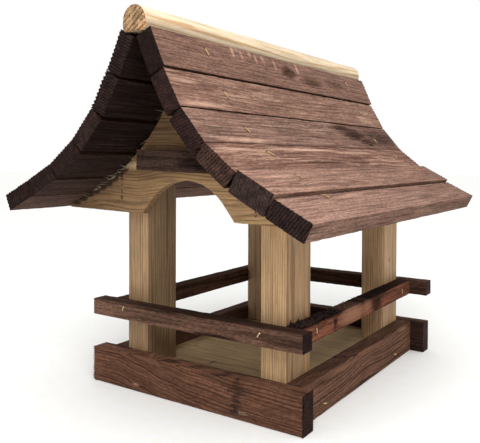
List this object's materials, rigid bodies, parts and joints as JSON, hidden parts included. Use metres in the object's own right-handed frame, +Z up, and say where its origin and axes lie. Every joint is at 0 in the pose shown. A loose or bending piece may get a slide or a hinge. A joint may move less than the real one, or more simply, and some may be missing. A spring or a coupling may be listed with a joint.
{
  "type": "bird table",
  "caption": "Wooden bird table: low railed tray on a floor, corner posts, arched gables and a steep swept roof of sawn slats closed by a round-backed ridge pole.",
  "frame": {"origin": "middle of the floor's underside, which is level with the underside of the tray boards", "axes": "+Z up, +Y along the ridge away from the front gable, +X to the right as seen on the front gable"},
  "size_m": [0.3601, 0.4342, 0.3698],
  "materials": {
    "sawn_timber": "sawn, stained dark brown",
    "post_timber": "planed pine",
    "gable_timber": "planed pine",
    "ridge_timber": "planed pale pine",
    "floor_timber": "planed pine"
  },
  "bodies": {
    "root": {"collar_back": "sawn_timber", "collar_front": "sawn_timber", "end_board_back": "sawn_timber", "end_board_front": "sawn_timber", "end_rail_back": "sawn_timber", "end_rail_front": "sawn_timber", "floor_panel": "floor_timber", "gable_apex_back": "gable_timber", "gable_apex_front": "gable_timber", "gable_arch_back": "gable_timber", "gable_arch_front": "gable_timber", "post_back_left": "post_timber", "post_back_right": "post_timber", "post_front_left": "post_timber", "post_front_right": "post_timber", "ridge_pole": "ridge_timber", "side_board_left": "sawn_timber", "side_board_right": "sawn_timber", "side_rail_left": "sawn_timber", "side_rail_right": "sawn_timber", "slat_left_1": "sawn_timber", "slat_left_2": "sawn_timber", "slat_left_3": "sawn_timber", "slat_left_4": "sawn_timber", "slat_left_5": "sawn_timber", "slat_left_6": "sawn_timber", "slat_right_1": "sawn_timber", "slat_right_2": "sawn_timber", "slat_right_3": "sawn_timber", "slat_right_4": "sawn_timber", "slat_right_5": "sawn_timber", "slat_right_6": "sawn_timber"}
  },
  "joints": []
}
